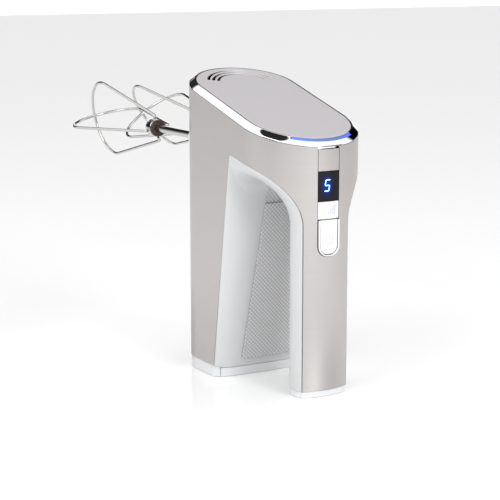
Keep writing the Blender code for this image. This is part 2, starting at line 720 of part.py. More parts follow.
def make_fan():
    """The fan on the motor shaft's lower end: a hub with seven swept blades."""
    blades, inner, outer = 7, 4.5, 15.5
    outline = []
    for k in range(blades):
        base = math.tau * k / blades
        for radius, turn in ((inner, 0.0), (9.0, 0.28), (outer, 0.50), (outer, 0.60),
                             (9.0, 0.42), (inner, 0.22)):
            outline.append((radius * math.cos(base + turn), radius * math.sin(base + turn)))
    low, high = 75.0, 79.6
    fan = prism("cooling_fan", [(x, y + WORM_Y) for x, y in outline], low, high, NYLON)
    bore = cylinder("fan_bore", (0, WORM_Y, low - 2), (0, WORM_Y, high + 2),
                    ROTOR_SHAFT_RADIUS + GAP, None, 16, CUTTERS)
    cut(fan, bore)


def make_gear(name, x):
    """A worm wheel whose teeth stand between the worm's threads and follow their lead.

    The right wheel meets the worm at its -X side and the left one at its +X side,
    where the thread's crests are half a pitch apart.
    """
    tip, root = GEAR_PITCH_RADIUS + ADDENDUM, GEAR_PITCH_RADIUS - DEDENDUM
    crest = BEATER_Z / WORM_PITCH
    first = math.pi + math.tau * crest / GEAR_TEETH if x > 0 \
        else -math.tau * (crest - 0.5) / GEAR_TEETH
    lead = WORM_PITCH / (math.tau * WORM_PITCH_RADIUS) / GEAR_PITCH_RADIUS
    tooth = ((-TOOTH_ROOT, root), (-TOOTH_TIP, tip), (TOOTH_TIP, tip), (TOOTH_ROOT, root))
    rows = []
    for y in steps(-WHEEL_HALF, WHEEL_HALF, 2):
        row = []
        for k in range(GEAR_TEETH):
            for share, radius in tooth:
                turn = first + math.tau * (k + share) / GEAR_TEETH - lead * y
                row.append((x + radius * math.cos(turn), WORM_Y + y,
                            BEATER_Z + radius * math.sin(turn)))
        rows.append(row)
    gear = loft(name, rows, NYLON, closed_rows=True)
    bore = cylinder(name + "_bore", (x, WORM_Y - 9, BEATER_Z), (x, WORM_Y + 9, BEATER_Z),
                    SPINDLE_RADIUS + GAP, None, 24, CUTTERS)
    cut(gear, bore)


def make_drive_side(side, x):
    """Spindle, gear, bush, circlip and the socket collar of one beater."""
    bore = SHAFT_RADIUS + GAP
    sleeve = ((0, -22.0), (SPINDLE_RADIUS, -22.0), (SPINDLE_RADIUS, 21.0), (bore, 21.0),
              (bore, -19.5), (0, -19.5))
    turned(f"spindle_{side}", sleeve, SPRING_STEEL, lying(x, BEATER_Z), 24)
    make_gear(f"worm_wheel_{side}", x)
    inside = SPINDLE_RADIUS + GAP
    bush = ((inside, 0.6), (7.6, 0.6), (7.6, 1.8), (6.3, 1.8), (6.3, 6.0), (inside, 6.0))
    turned(f"spindle_bush_{side}", bush, BRONZE, lying(x, BEATER_Z), 24)
    clip = ((inside, 6.5), (6.2, 6.5), (6.2, 7.5), (inside, 7.5))
    turned(f"circlip_{side}", clip, SPRING_STEEL, lying(x, BEATER_Z), 20)
    collar = ((5.1, 12.0), (SOCKET_OUTER, 12.0), (SOCKET_OUTER, 24.6), (SOCKET_OUTER - 0.8, 25.4),
              (5.9, 25.4), (5.1, 24.6))
    turned(f"socket_collar_{side}", collar, WHITE_PLASTIC, lying(x, BEATER_Z), 24)


def make_gear_frame():
    """Casting over the motor that carries both spindles, with a bridge on top."""
    low_y, high_y, wall, half = -19.4, 5.6, 3.2, 35.0
    frame = box("gear_frame", (-half, low_y, FRAME_FLOOR), (half, high_y, FRAME_TOP),
                MOTOR_ZINC)
    inside = box("frame_cutter", (-half - 1, low_y + wall, FRAME_FLOOR + 2.6),
                 (half + 1, high_y - wall, FRAME_TOP + 1), None, CUTTERS)
    bores = [cylinder("frame_worm_bore", (0, WORM_Y, 120), (0, WORM_Y, 134), 4.0, None, 16,
                      CUTTERS)]
    for side, x in SIDES:
        bores.append(cylinder(f"frame_front_bore_{side}", (x, -30, BEATER_Z),
                              (x, WORM_Y, BEATER_Z), SPINDLE_RADIUS + GAP, None, 24, CUTTERS))
        bores.append(cylinder(f"frame_rear_bore_{side}", (x, WORM_Y, BEATER_Z),
                              (x, 20, BEATER_Z), 6.3 + GAP, None, 24, CUTTERS))
    cut(frame, inside, *bores)
    bridge = box("bearing_bridge", (-12, low_y, FRAME_TOP + GAP), (12, high_y, FRAME_TOP + 3),
                 MOTOR_ZINC)
    seat = cylinder("bridge_bore", (0, WORM_Y, 150), (0, WORM_Y, 180), 4.5 + GAP, None, 20,
                    CUTTERS)
    cut(bridge, seat)
    bore, outer = ROTOR_SHAFT_RADIUS + GAP, 4.5
    bush = ((bore, FRAME_TOP - 0.5), (outer, FRAME_TOP - 0.5), (outer, FRAME_TOP + 3.4),
            (bore, FRAME_TOP + 3.4))
    turned("worm_bush", bush, BRONZE, standing(0, WORM_Y), 20)


# ---- beaters -----------------------------------------------------------------------
HUB_START = 80.0
HUB_RADIUS = 5.8
WIRE_RADIUS = 1.0
LOOP_CENTRE = 158.2       # the round end of each wire loop, along Y
LOOP_RADIUS = 26.3
LOOP_DEPTH = 24.4         # how far the round end of the outer loop reaches past that
BEND = (8.7, 80.6)        # radius and place where a wire turns towards the tip
FIRST_LOOP = {"left": 101.5, "right": 123.5}   # turn of each outer loop about its shaft


def wire_points(depth):
    """Half of one wire loop as (radius, y), from the hub to the tip."""
    best, start = -1.0, 0.0    # the turn at which a straight run meets the arc without a kink
    for k in range(-60, 40):
        turn = math.radians(k)
        rise = LOOP_RADIUS * math.cos(turn) - BEND[0]
        run = LOOP_CENTRE + depth * math.sin(turn) - BEND[1]
        if math.atan2(rise, run) > best:
            best, start = math.atan2(rise, run), turn
    arc = [(LOOP_RADIUS * math.cos(a), LOOP_CENTRE + depth * math.sin(a))
           for a in steps(start, math.pi / 2, 9)]
    foot = HUB_RADIUS + GAP
    hook = [(foot + 0.05, BEND[1] + 3.3), (foot + 0.8, BEND[1] + 3.1),
            (foot + 1.8, BEND[1] + 2.0), (foot + 2.6, BEND[1] + 1.7),
            (foot + 3.1, BEND[1] + 2.9)]
    return hook + arc


def make_wire(name, x, angle, depth):
    """One loop of wire across the beater, from hub to tip and back."""
    half = wire_points(depth)
    whole = half + [(-r, y) for r, y in half[-2::-1]]
    turn = math.radians(angle)
    curve = bpy.data.curves.new(name, "CURVE")
    curve.dimensions = "3D"
    curve.bevel_depth = WIRE_RADIUS * MM
    curve.bevel_resolution = 2
    curve.use_fill_caps = True
    line = curve.splines.new("POLY")
    line.points.add(len(whole) - 1)
    for point, (radius, y) in zip(line.points, whole):
        point.co = ((x + radius * math.cos(turn)) * MM, y * MM,
                    (BEATER_Z + radius * math.sin(turn)) * MM, 1.0)
    wire = bpy.data.objects.new(name, curve)
    PARTS.objects.link(wire)
    curve.materials.append(CHROME)


def make_beater(side, x):
    """Shaft, dark seal, hub and two crossed wire loops."""
    shaft = ((0, -18.9), (1.7, -18.9), (SHAFT_RADIUS, -17.5), (SHAFT_RADIUS, 8.0),
             (2.0, 8.6), (2.0, 10.6), (SHAFT_RADIUS, 11.2), (SHAFT_RADIUS, 88.0), (0, 88.0))
    turned(f"beater_shaft_{side}", shaft, CHROME, lying(x, BEATER_Z), 20)
    bore = SHAFT_RADIUS + GAP
    seal = ((bore, HUB_START), (HUB_RADIUS - 0.6, HUB_START), (HUB_RADIUS - 0.1, HUB_START + 0.6),
            (HUB_RADIUS - 0.1, HUB_START + 1.8), (bore, HUB_START + 1.8))
    turned(f"beater_seal_{side}", seal, DARK_PLASTIC, lying(x, BEATER_Z), 24)
    hub = ((bore, HUB_START + 2.1), (HUB_RADIUS, HUB_START + 2.1), (HUB_RADIUS, HUB_START + 8.6),
           (HUB_RADIUS - 1.0, HUB_START + 9.4), (bore, HUB_START + 9.4))
    turned(f"beater_hub_{side}", hub, CHROME, lying(x, BEATER_Z), 24)
    angle, depth = FIRST_LOOP[side], LOOP_DEPTH
    make_wire(f"beater_wire_outer_{side}", x, angle, depth)
    make_wire(f"beater_wire_inner_{side}", x, angle + 90.0, depth - 2 * WIRE_RADIUS - GAP)


make_steel_skin()
make_rear_cover()
make_liner()
make_grip_panel()
make_column_foot()
make_handle_foot()
make_chrome_ring()
make_nose_cap()
make_controls()
make_power()
make_motor()
make_worm()
make_fan()
make_gear_frame()
for side, x in SIDES:
    make_drive_side(side, x)
    make_beater(side, x)
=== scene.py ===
"""Looks of the cordless hand mixer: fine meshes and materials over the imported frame.

Lengths are in millimetres and are turned into metres when a mesh is made, in the
frame's own axes: X across the mixer, -Y towards the handle, +Y along the beaters,
+Z up, with the origin on the floor under the motor column.
"""
import json
import math

import bmesh
import bpy
from mathutils import Matrix, Vector

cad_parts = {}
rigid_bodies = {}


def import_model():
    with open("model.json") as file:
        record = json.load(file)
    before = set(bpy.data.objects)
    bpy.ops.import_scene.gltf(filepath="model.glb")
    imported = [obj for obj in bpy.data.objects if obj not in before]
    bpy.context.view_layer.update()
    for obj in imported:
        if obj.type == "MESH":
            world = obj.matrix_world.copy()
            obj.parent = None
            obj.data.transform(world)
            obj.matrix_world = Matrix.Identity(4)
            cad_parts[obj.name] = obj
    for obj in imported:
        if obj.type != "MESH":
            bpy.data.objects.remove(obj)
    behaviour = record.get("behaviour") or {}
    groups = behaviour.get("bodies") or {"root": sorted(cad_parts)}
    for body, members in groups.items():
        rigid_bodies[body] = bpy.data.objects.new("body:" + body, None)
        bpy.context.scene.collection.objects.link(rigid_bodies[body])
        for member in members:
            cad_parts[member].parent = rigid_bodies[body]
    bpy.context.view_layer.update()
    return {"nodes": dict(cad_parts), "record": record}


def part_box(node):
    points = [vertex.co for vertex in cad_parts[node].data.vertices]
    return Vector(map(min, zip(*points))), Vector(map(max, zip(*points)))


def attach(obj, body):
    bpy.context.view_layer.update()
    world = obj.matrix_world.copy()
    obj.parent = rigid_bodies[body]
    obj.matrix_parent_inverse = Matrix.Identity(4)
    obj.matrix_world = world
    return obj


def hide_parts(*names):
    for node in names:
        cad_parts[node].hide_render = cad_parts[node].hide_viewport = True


for old in list(bpy.data.objects):
    bpy.data.objects.remove(old, do_unlink=True)

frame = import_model()
NODES = frame["nodes"]
MM = 0.001
GAP = 0.3


def corners(node):
    """Lowest and highest corner of a CAD node, in millimetres."""
    low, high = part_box(node)
    return low / MM, high / MM


# ---- driving dimensions, from the frame where a node gives them ----------------------
SKIN_LOW, SKIN_HIGH = corners("steel_skin")
HALF_WIDTH = SKIN_HIGH.x
FRONT_CENTRE = -63.4      # the flat sides end here and the front half ellipse starts
FRONT_REACH = FRONT_CENTRE - SKIN_LOW.y
REAR_CENTRE = -4.3        # the same for the rear half ellipse
REAR_REACH = corners("rear_cover")[1].y - REAR_CENTRE
TOP_HEIGHT = 179.8        # top edge of the steel above the origin
TOP_SLOPE = math.tan(math.radians(16.0))
SKIN = 0.8                # sheet thickness of the steel
SHELL = 1.8               # wall of the plastic parts
BASE_BAND = corners("base_rim")[1].z
HEEL_BAND = corners("handle_foot")[1].z
RING_INSET = 4.0
RING_RISE = 3.7
STRIP_HALF = corners("control_strip")[1].x
LIGHT_HALF_ANGLE = 36.0
REAR_COVER_HALF = corners("rear_cover")[1].x
COLUMN_LEAN = 0.146
EDGE_FOOT = -25.9
ARCH_EDGE = ((-47.0, 144.3), (-72.0, 139.0), (-95.8, 137.0), (-95.8, 104.0))
MIDDLE_FOOT = -31.7
MIDDLE_ARCH = ((-48.2, 113.0), (-51.2, 133.5), (-74.0, 136.5), (-74.0, 104.0))
COLUMN_POWER = 2.3
HANDLE_START = -28.0
VENT_RADII = (25.2, 22.1, 19.0)
VENT_HALF, VENT_HALF_ANGLE = 0.9, 64
VENT_CENTRE = -6.5        # along Y, on the middle line
CHARGE_HEIGHT, CHARGE_RADIUS = 20.0, 3.6
WINDOW_FOOT, WINDOW_ROUND = 86.0, 6.5
PAD_THICKNESS = 0.8
PAD_LIFT = GAP + 0.05     # clear of the liner behind it


# ---- materials ------------------------------------------------------------------------
NOISE_LOW, NOISE_HIGH = 0.3, 0.7     # values between which most of a noise pattern lies
KNURL_DEPTH, KNURL_STRENGTH = 0.00025, 0.9
KNURL_PAINTED_SHADE_AND_HIGHLIGHT = (-0.35, 0.15)         # share of painted shade in the grooves and of painted highlight on the ridges
STEEL_GRAIN = (30, 30, 5200)


def material(name, colour, roughness, metallic=0.0, **fixed):
    """A Principled material and its nodes; fixed sets other sockets by name."""
    made = bpy.data.materials.new(name)
    made.use_nodes = True
    nodes, links = made.node_tree.nodes, made.node_tree.links
    shader = nodes["Principled BSDF"]
    shader.inputs["Base Color"].default_value = (*colour, 1.0)
    shader.inputs["Roughness"].default_value = roughness
    shader.inputs["Metallic"].default_value = metallic
    for socket, value in fixed.items():
        shader.inputs[socket.replace("_", " ")].default_value = value
    return made, nodes, links, shader


def coordinates(nodes, links, scale):
    """Object coordinates in metres, stretched by a scale along each axis."""
    place = nodes.new("ShaderNodeTexCoord")
    mapping = nodes.new("ShaderNodeMapping")
    mapping.inputs["Scale"].default_value = scale
    links.new(place.outputs["Object"], mapping.inputs["Vector"])
    return mapping.outputs["Vector"]


def object_axes(nodes, links):
    """Object coordinates split into X, Y and Z."""
    place = nodes.new("ShaderNodeTexCoord")
    split = nodes.new("ShaderNodeSeparateXYZ")
    links.new(place.outputs["Object"], split.inputs["Vector"])
    return split.outputs


def math_node(nodes, links, operation, *values):
    """A math node fed by sockets or plain numbers."""
    made = nodes.new("ShaderNodeMath")
    made.operation = operation
    for slot, value in zip(made.inputs, values):
        if isinstance(value, (int, float)):
            slot.default_value = value
        else:
            links.new(value, slot)
    return made.outputs[0]


def fade(nodes, links, value, start, end, low=1.0, high=0.0):
    """A value mapped smoothly from low at start to high at end, clamped outside."""
    made = nodes.new("ShaderNodeMapRange")
    made.interpolation_type = "SMOOTHSTEP"
    made.inputs["From Min"].default_value = start
    made.inputs["From Max"].default_value = end
    made.inputs["To Min"].default_value = low
    made.inputs["To Max"].default_value = high
    links.new(value, made.inputs["Value"])
    return made.outputs["Result"]


def noise(nodes, links, scale, detail=4.0):
    """A noise pattern whose scale is given for each axis."""
    made = nodes.new("ShaderNodeTexNoise")
    made.inputs["Scale"].default_value = 1.0
    made.inputs["Detail"].default_value = detail
    links.new(coordinates(nodes, links, scale), made.inputs["Vector"])
    return made.outputs["Fac"]


def spread(nodes, links, value, low, high):
    """A pattern's values mapped onto a range."""
    made = nodes.new("ShaderNodeMapRange")
    made.inputs["From Min"].default_value = NOISE_LOW
    made.inputs["From Max"].default_value = NOISE_HIGH
    made.inputs["To Min"].default_value = low
    made.inputs["To Max"].default_value = high
    links.new(value, made.inputs["Value"])
    return made.outputs["Result"]


def tint(nodes, links, value, dark, light):
    """A value turned into a colour between two, each a socket or a plain colour."""
    made = nodes.new("ShaderNodeMix")
    made.data_type = "RGBA"
    for name, colour in (("A", dark), ("B", light)):
        if isinstance(colour, tuple):
            made.inputs[name].default_value = (*colour, 1.0)
        else:
            links.new(colour, made.inputs[name])
    links.new(value, made.inputs["Factor"])
    return made.outputs["Result"]


def bump(nodes, links, shader, height, distance, strength=1.0):
    """Relief of a pattern, its depth in metres."""
    made = nodes.new("ShaderNodeBump")
    made.inputs["Strength"].default_value = strength
    made.inputs["Distance"].default_value = distance
    links.new(height, made.inputs["Height"])
    links.new(made.outputs["Normal"], shader.inputs["Normal"])


def shaded(colour, amount):
    """A colour made darker or lighter by a share."""
    return tuple(min(1.0, c * (1 + amount)) for c in colour)


def patterned(name, colour, roughness, metallic=0.0, scale=(60, 60, 60), vary=0.04,
              rough_vary=0.05, relief=0.000005, **fixed):
    """A material whose colour, roughness and relief follow one noise pattern."""
    made, nodes, links, shader = material(name, colour, roughness, metallic, **fixed)
    value = noise(nodes, links, scale)
    even = spread(nodes, links, value, 0.0, 1.0)
    links.new(tint(nodes, links, even, shaded(colour, -vary), shaded(colour, vary)),
              shader.inputs["Base Color"])
    links.new(spread(nodes, links, value, max(0.0, roughness - rough_vary),
                     roughness + rough_vary), shader.inputs["Roughness"])
    bump(nodes, links, shader, value, relief)
    return made


def knurl_height(nodes, links, pitch):
    """Height of a fine diamond texture: two sets of slanted grooves across X and Z."""
    axes = object_axes(nodes, links)
    ridges = []
    for operation in ("ADD", "SUBTRACT"):
        slant = math_node(nodes, links, operation, axes["X"], axes["Z"])
        ridges.append(math_node(nodes, links, "PINGPONG", slant, pitch / 2))
    level = nodes.new("ShaderNodeMapRange")
    level.inputs["From Max"].default_value = pitch / 3
    links.new(math_node(nodes, links, "MINIMUM", *ridges), level.inputs["Value"])
    return level.outputs["Result"]


def knurl_painted_shading(nodes, links, height, colour):
    """The colour of the diamond texture: painted shade in its grooves and a painted highlight on
    its ridges.
    """
    groove, ridge = (shaded(colour, share) for share in KNURL_PAINTED_SHADE_AND_HIGHLIGHT)
    return tint(nodes, links, height, groove, ridge)


def knurled(name, colour, roughness, pitch):
    """A surface with the diamond texture in its relief, and in its colour as painted shade in the
    grooves and a painted highlight on the ridges.
    """
    made, nodes, links, shader = material(name, colour, roughness)
    height = knurl_height(nodes, links, pitch)
    links.new(knurl_painted_shading(nodes, links, height, colour), shader.inputs["Base Color"])
    bump(nodes, links, shader, height, KNURL_DEPTH, KNURL_STRENGTH)
    return made


def brushed(name, colour, roughness):
    """Sheet steel with fine grain round the wrap and a highlight drawn out by it."""
    made, nodes, links, shader = material(name, colour, roughness, 1.0, Anisotropic=0.55)
    value = noise(nodes, links, STEEL_GRAIN, 2.0)
    even = spread(nodes, links, value, 0.0, 1.0)
    links.new(tint(nodes, links, even, shaded(colour, -0.025), shaded(colour, 0.025)),
              shader.inputs["Base Color"])
    links.new(spread(nodes, links, value, roughness - 0.02, roughness + 0.03),
              shader.inputs["Roughness"])
    tangent = nodes.new("ShaderNodeTangent")
    tangent.direction_type = "RADIAL"
    tangent.axis = "Z"
    links.new(tangent.outputs["Tangent"], shader.inputs["Tangent"])
    bump(nodes, links, shader, value, 0.0000012, 0.35)
    return made


def dark_glass(name):
    """Black glass with a weak mirror."""
    return patterned(name, (0.004, 0.004, 0.006), 0.07, 0.0, (300, 300, 300),
                     0.1, 0.02, 0.0000003, Specular_IOR_Level=0.2)


def silver(name):
    """The cap's satin finish."""
    return patterned(name, CAP_SILVER, 0.45, 0.35, (1500, 1500, 1500), 0.03, 0.05, 0.000004)


WHITE = (0.70, 0.71, 0.72)
LINER_WHITE = (0.57, 0.575, 0.58)
CAP_SILVER = (0.66, 0.635, 0.655)
PAD_GREY = (0.58, 0.58, 0.59)
PAD_PITCH = 0.0026
PAD_FOOT, PAD_TOP = 11.0, 112.0
PAD_HALF_FOOT, PAD_TAPER = 22.0, 9.0
TEXTURE_END = (0.127, 0.134)         # heights, in metres, between which the texture fades
TEXTURE_FRONT = (-0.0640, -0.0560)   # and places along Y
# Painted shade: dark brown colour for the cap below its top, in the vent slots and the gap under
# the ring.
VENT_PAINTED_SHADE = (0.022, 0.014, 0.011)
VENT_SHADE = (0.0009, 0.0004)        # depths under the cap's top between which the painted shade sets in
HALO_FLATTENING = 0.35
HALO_REACH = (0.0010, 0.0046)
DIGIT_PLACE = (-1.2, 128.8)      # middle of the lit figure, across and up
SURFACES = {
    "brushed_steel": brushed("brushed_steel", (0.54, 0.517, 0.508), 0.30),
    "chrome": patterned("chrome", (0.88, 0.88, 0.89), 0.05, 1.0, (400, 400, 400),
                        0.01, 0.02, 0.0000005),
    "satin_silver": silver("satin_silver"),
    "white_plastic": patterned("white_plastic", WHITE, 0.30, 0.0, (900, 900, 900),
                               0.01, 0.04, 0.000002, Coat_Weight=0.25),
    "textured_grey": knurled("textured_grey", PAD_GREY, 0.55, PAD_PITCH),
    "dark_plastic": patterned("dark_plastic", (0.05, 0.03, 0.024), 0.45),
    "black_glass": dark_glass("black_glass"),
    "circuit_green": patterned("circuit_green", (0.02, 0.16, 0.07), 0.45),
    "black_plastic": patterned("black_plastic", (0.03, 0.03, 0.03), 0.5),
    "cell_blue": patterned("cell_blue", (0.03, 0.10, 0.30), 0.35),
    "motor_zinc": patterned("motor_zinc", (0.55, 0.56, 0.58), 0.35, 0.9),
    "bronze": patterned("bronze", (0.50, 0.33, 0.15), 0.40, 0.9),
    "nylon": patterned("nylon", (0.80, 0.78, 0.70), 0.42),
    "spring_steel": patterned("spring_steel", (0.50, 0.50, 0.52), 0.22, 1.0),
}


def glowing(name, colour, strength):
    """A lit surface with a faint unevenness."""
    made, nodes, links, shader = material(name, shaded(colour, -0.6), 0.25)
    shader.inputs["Emission Color"].default_value = (*colour, 1.0)
    value = noise(nodes, links, (90, 90, 90))
    links.new(spread(nodes, links, value, strength * 0.85, strength * 1.15),
              shader.inputs["Emission Strength"])
    return made


def light_bar_surface():
    """Blue light behind a clear bar: full at the -X end, faint in the middle."""
    made, nodes, links, shader = material("blue_light", (0.10, 0.16, 0.36), 0.2)
    shader.inputs["Emission Color"].default_value = (0.01, 0.06, 1.0, 1.0)
    across = object_axes(nodes, links)["X"]
    left = fade(nodes, links, across, -0.021, -0.002, 0.75, 0.16)
    right = fade(nodes, links, across, 0.004, 0.022, 0.0, 0.6)
    links.new(math_node(nodes, links, "ADD", left, right), shader.inputs["Emission Strength"])
    return made


def lit_glass():
    """The display's black glass with a deep blue halo round the figure."""
    made = dark_glass("display_black")
    nodes, links = made.node_tree.nodes, made.node_tree.links
    shader = nodes["Principled BSDF"]
    axes = object_axes(nodes, links)
    side = math_node(nodes, links, "SUBTRACT", axes["X"], DIGIT_PLACE[0] * MM)
    rise = math_node(nodes, links, "SUBTRACT", axes["Z"], DIGIT_PLACE[1] * MM)
    side = math_node(nodes, links, "MULTIPLY", side, side)
    rise = math_node(nodes, links, "MULTIPLY", rise, rise)
    rise = math_node(nodes, links, "MULTIPLY", rise, HALO_FLATTENING)
    away = math_node(nodes, links, "SQRT", math_node(nodes, links, "ADD", side, rise))
    shader.inputs["Emission Color"].default_value = (0.0, 0.004, 0.42, 1.0)
    links.new(fade(nodes, links, away, *HALO_REACH), shader.inputs["Emission Strength"])
    return made


def liner_plastic():
    """White plastic whose moulded texture carries on up the arch from the pad."""
    made, nodes, links, shader = material("liner_plastic", LINER_WHITE, 0.32, 0.0, Coat_Weight=0.25)
    height = knurl_height(nodes, links, PAD_PITCH)
    axes = object_axes(nodes, links)
    half = (PAD_HALF_FOOT - PAD_TAPER) * MM
    inside = fade(nodes, links, math_node(nodes, links, "ABSOLUTE", axes["X"]),
                  half - 0.0002, half + 0.0004)
    above = fade(nodes, links, axes["Z"], (PAD_TOP - 1.0) * MM, PAD_TOP * MM, 0.0, 1.0)
    below = fade(nodes, links, axes["Z"], *TEXTURE_END)
    behind = fade(nodes, links, axes["Y"], *TEXTURE_FRONT, 0.0, 1.0)
    mask = math_node(nodes, links, "MULTIPLY", inside, above)
    mask = math_node(nodes, links, "MULTIPLY", mask, below)
    mask = math_node(nodes, links, "MULTIPLY", mask, behind)
    # The pad's grey, with painted shade in the grooves and a painted highlight on the ridges.
    grey = knurl_painted_shading(nodes, links, height, PAD_GREY)
    value = noise(nodes, links, (900, 900, 900))
    white = tint(nodes, links, spread(nodes, links, value, 0.0, 1.0), shaded(LINER_WHITE, -0.01),
                 shaded(LINER_WHITE, 0.01))
    links.new(tint(nodes, links, mask, white, grey), shader.inputs["Base Color"])
    links.new(spread(nodes, links, value, 0.28, 0.36), shader.inputs["Roughness"])
    bump(nodes, links, shader, math_node(nodes, links, "MULTIPLY", mask, height), KNURL_DEPTH,
         KNURL_STRENGTH)
    return made


def silver_with_painted_shade():
    """The cap's satin finish with painted shade below its top: in the vent slots and at the rim's
    foot.
    """
    made = silver("silver_with_painted_shade")
    nodes, links = made.node_tree.nodes, made.node_tree.links
    shader = nodes["Principled BSDF"]
    axes = object_axes(nodes, links)
    rise = math_node(nodes, links, "SUBTRACT", axes["Z"],
                     math_node(nodes, links, "MULTIPLY", axes["Y"], TOP_SLOPE))
    top = (TOP_HEIGHT + RING_RISE) * MM
    # Painted shade: the cap's colour turns dark below its top, where the vent slots and the ring's
    # gap lie in shade.
    depth = fade(nodes, links, rise, top - VENT_SHADE[0], top - VENT_SHADE[1])
    finish = shader.inputs["Base Color"].links[0].from_socket
    links.new(tint(nodes, links, depth, finish, VENT_PAINTED_SHADE), shader.inputs["Base Color"])
    return made


SURFACES["blue_light"] = light_bar_surface()
PAINTED_SHADE_SILVER = silver_with_painted_shade()
DISPLAY_BLACK = lit_glass()
LINER_PLASTIC = liner_plastic()
BEATER_STEEL = patterned("beater_steel", (0.58, 0.58, 0.57), 0.06, 1.0, (400, 400, 400),
                         0.01, 0.02, 0.0000005)
DIGIT_LIT = glowing("digit_lit", (0.30, 0.80, 1.0), 3.0)
ICON_GREY = patterned("icon_grey", (0.58, 0.60, 0.64), 0.4)
POWER_GREY = patterned("power_grey", (0.62, 0.64, 0.66), 0.4)

for entry in frame["record"]["subparts"]:
    node = NODES[entry["node"]]
    node.data.materials.clear()
    node.data.materials.append(SURFACES[entry["material_slot"]])


# ---- mesh helpers -----------------------------------------------------------------------
def piece(name, mesh, surface, body, replaces=(), sharp=35):
    """Link a mesh as a piece that rides on a body and stands for CAD nodes."""
    made = bpy.data.objects.new(name, mesh)
    bpy.context.scene.collection.objects.link(made)
    mesh.materials.clear()
    mesh.materials.append(surface)
    mesh.set_sharp_from_angle(angle=math.radians(sharp))
    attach(made, body)
    if replaces:
        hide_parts(*replaces)
    return made


def mesh_of(name, work, outward=True):
    """A bmesh in millimetres as a smooth mesh in metres."""
    if outward:
        bmesh.ops.recalc_face_normals(work, faces=work.faces)
    bmesh.ops.scale(work, vec=(MM, MM, MM), verts=work.verts)
    for face in work.faces:
        face.smooth = True
    mesh = bpy.data.meshes.new(name)
    work.to_mesh(mesh)
    work.free()
    return mesh


def loose(name, data):
    """An object made from a mesh or curve and linked to the scene."""
    made = bpy.data.objects.new(name, data)
    bpy.context.scene.collection.objects.link(made)
    return made


def evaluated(item):
    """An object's mesh with its modifiers applied."""
    bpy.context.view_layer.update()
    graph = bpy.context.evaluated_depsgraph_get()
    return bpy.data.meshes.new_from_object(item.evaluated_get(graph))


def carved(mesh, *cutters):
    """A mesh with cutter meshes taken away."""
    item = loose("carved", mesh)
    tools = [loose("tool", cutter) for cutter in cutters]
    for tool in tools:
        step = item.modifiers.new("cut", "BOOLEAN")
        step.operation = "DIFFERENCE"
        step.object = tool
    result = evaluated(item)
    for used in [item, *tools]:
        bpy.data.objects.remove(used, do_unlink=True)
    return result


def soften(item, width, segments=3, angle=40):
    """Round an object's sharp edges by a small bevel."""
    step = item.modifiers.new("round", "BEVEL")
    step.width = width * MM
    step.segments = segments
    step.limit_method = "ANGLE"
    step.angle_limit = math.radians(angle)
    step.harden_normals = True
    return item


def join_rings(work, low, high):
    """Quads all the way round between two rings of vertices."""
    for k in range(len(low)):
        n = (k + 1) % len(low)
        work.faces.new((low[k], low[n], high[n], high[k]))


def prism(outline, low, high, axis="Z"):
    """A flat outline raised between two levels of an axis, as a mesh."""
    work = bmesh.new()
    order = {"Z": lambda a, b, c: (a, b, c), "Y": lambda a, b, c: (a, c, b),
             "X": lambda a, b, c: (c, a, b)}[axis]
    ends = [[work.verts.new(order(a, b, level)) for a, b in outline] for level in (low, high)]
    for end in ends:
        work.faces.new(end)
    join_rings(work, *ends)
    return mesh_of("prism", work)


def turned(profile, x, z, sides=96):
    """A closed (radius, y) profile turned about an axis along Y, as a mesh."""
    work = bmesh.new()
    rings = []
    for radius, y in profile:
        count = sides if radius else 1
        rings.append([work.verts.new((x + radius * math.cos(math.tau * k / sides), y,
                                      z + radius * math.sin(math.tau * k / sides)))
                      for k in range(count)])
    solid = not profile[0][0] and not profile[-1][0]
    for a, b in zip(rings, rings[1:] if solid else rings[1:] + rings[:1]):
        for k in range(sides):
            n = (k + 1) % sides
            corner = [a[k % len(a)], a[n % len(a)], b[n % len(b)], b[k % len(b)]]
            unique = list(dict.fromkeys(corner))
            if len(unique) > 2:
                work.faces.new(unique)
    return mesh_of("turned", work)


def steps(start, end, count):
    """count + 1 evenly spaced numbers from start to end."""
    return [start + (end - start) * k / count for k in range(count + 1)]


# ---- plan and profile -------------------------------------------------------------------
def top_plane(y):
    """Height of the slanted plane that ends the steel."""
    return TOP_HEIGHT + TOP_SLOPE * y


def front_point(angle, inset=0.0):
    """Point of the front half ellipse; 0 degrees is its middle."""
    turn = math.radians(angle)
    return ((HALF_WIDTH - inset) * math.sin(turn),
            FRONT_CENTRE - (FRONT_REACH - inset) * math.cos(turn))


def rear_point(angle, inset=0.0):
    """Point of the rear half ellipse; 0 degrees is its middle."""
    turn = math.radians(angle)
    return ((HALF_WIDTH - inset) * math.sin(turn),
            REAR_CENTRE + (REAR_REACH - inset) * math.cos(turn))


def plan_outline(inset=0.0):
    """The closed plan outline of the head."""
    return ([front_point(a, inset) for a in steps(-90, 90, 96)]
            + [rear_point(a, inset) for a in steps(90, -90, 96)])


def half_width_at(y):
    """Half width of the head at a place along Y."""
    if y < FRONT_CENTRE:
        return HALF_WIDTH * math.sqrt(max(0.0, 1 - ((FRONT_CENTRE - y) / FRONT_REACH) ** 2))
    if y > REAR_CENTRE:
        return HALF_WIDTH * math.sqrt(max(0.0, 1 - ((y - REAR_CENTRE) / REAR_REACH) ** 2))
    return HALF_WIDTH


def bezier(points, t):
    """Point of a cubic Bezier curve in a plane."""
    weights = ((1 - t) ** 3, 3 * t * (1 - t) ** 2, 3 * t * t * (1 - t), t ** 3)
    return tuple(sum(w * p[i] for w, p in zip(weights, points)) for i in (0, 1))


